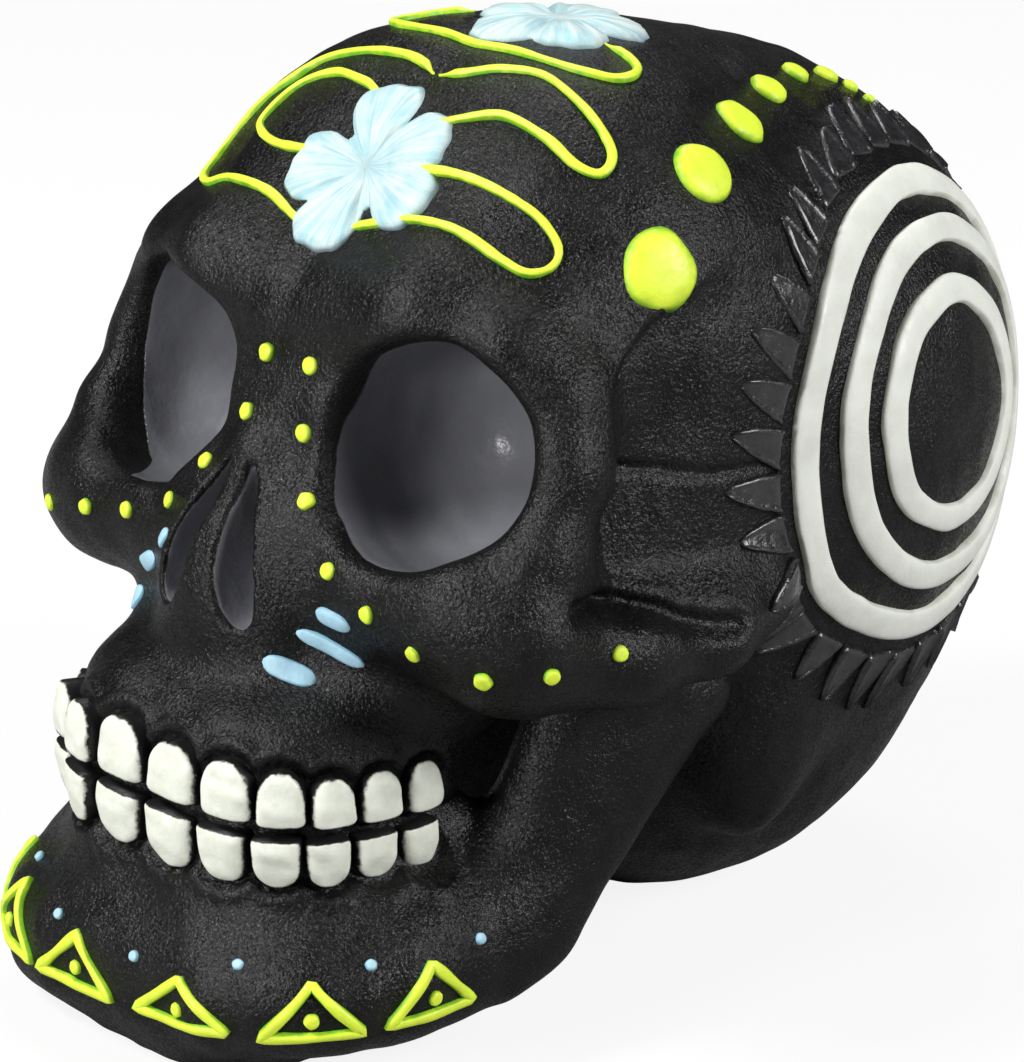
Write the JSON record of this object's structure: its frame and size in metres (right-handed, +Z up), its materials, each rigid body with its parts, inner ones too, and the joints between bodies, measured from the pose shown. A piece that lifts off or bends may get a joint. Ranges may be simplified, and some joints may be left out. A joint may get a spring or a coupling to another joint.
{
  "type": "painted skull ornament",
  "caption": "Life-size painted sugar skull with a separate lower jaw, modelled teeth, hollow eye sockets and raised rings, rays, flowers, scrolls, dots and triangles.",
  "frame": {"origin": "on the ground, under the middle of the box round the whole skull", "axes": "+Z up; -Y is the way the face looks; +X is the skull's own left"},
  "size_m": [0.1426, 0.205, 0.1725],
  "materials": {
    "black_coat": "black coat over cast resin, grainy, with a fine glitter; dark grey satin in the sockets",
    "black_gloss": "glossy black, brushed on thick",
    "cream_paint": "thick cream paint, satin",
    "neon_paint": "thick neon yellow-green paint, satin",
    "pale_blue_paint": "thick pale blue and white paint, streaked, satin"
  },
  "bodies": {
    "root": {"chin_triangle_left_1": "neon_paint", "chin_triangle_left_2": "neon_paint", "chin_triangle_left_3": "neon_paint", "chin_triangle_right_1": "neon_paint", "chin_triangle_right_2": "neon_paint", "chin_triangle_right_3": "neon_paint", "cranium": "black_coat", "crown_dot_left_1": "neon_paint", "crown_dot_left_2": "neon_paint", "crown_dot_left_3": "neon_paint", "crown_dot_left_4": "neon_paint", "crown_dot_left_5": "neon_paint", "crown_dot_left_6": "neon_paint", "crown_dot_right_1": "neon_paint", "crown_dot_right_2": "neon_paint", "crown_dot_right_3": "neon_paint", "crown_dot_right_4": "neon_paint", "crown_dot_right_5": "neon_paint", "crown_dot_right_6": "neon_paint", "flower_front": "pale_blue_paint", "flower_top": "pale_blue_paint", "inner_ring_left": "cream_paint", "inner_ring_right": "cream_paint", "lower_tooth_left_1": "cream_paint", "lower_tooth_left_2": "cream_paint", "lower_tooth_left_3": "cream_paint", "lower_tooth_left_4": "cream_paint", "lower_tooth_left_5": "cream_paint", "lower_tooth_left_6": "cream_paint", "lower_tooth_right_1": "cream_paint", "lower_tooth_right_2": "cream_paint", "lower_tooth_right_3": "cream_paint", "lower_tooth_right_4": "cream_paint", "lower_tooth_right_5": "cream_paint", "lower_tooth_right_6": "cream_paint", "mandible": "black_coat", "middle_ring_left": "cream_paint", "middle_ring_right": "cream_paint", "outer_ring_left": "cream_paint", "outer_ring_right": "cream_paint", "scroll_brow_left": "neon_paint", "scroll_brow_right": "neon_paint", "scroll_crown": "neon_paint", "scroll_side_left": "neon_paint", "scroll_side_right": "neon_paint", "sunburst_left": "black_gloss", "sunburst_right": "black_gloss", "upper_tooth_left_1": "cream_paint", "upper_tooth_left_2": "cream_paint", "upper_tooth_left_3": "cream_paint", "upper_tooth_left_4": "cream_paint", "upper_tooth_left_5": "cream_paint", "upper_tooth_left_6": "cream_paint", "upper_tooth_right_1": "cream_paint", "upper_tooth_right_2": "cream_paint", "upper_tooth_right_3": "cream_paint", "upper_tooth_right_4": "cream_paint", "upper_tooth_right_5": "cream_paint", "upper_tooth_right_6": "cream_paint"}
  },
  "joints": []
}
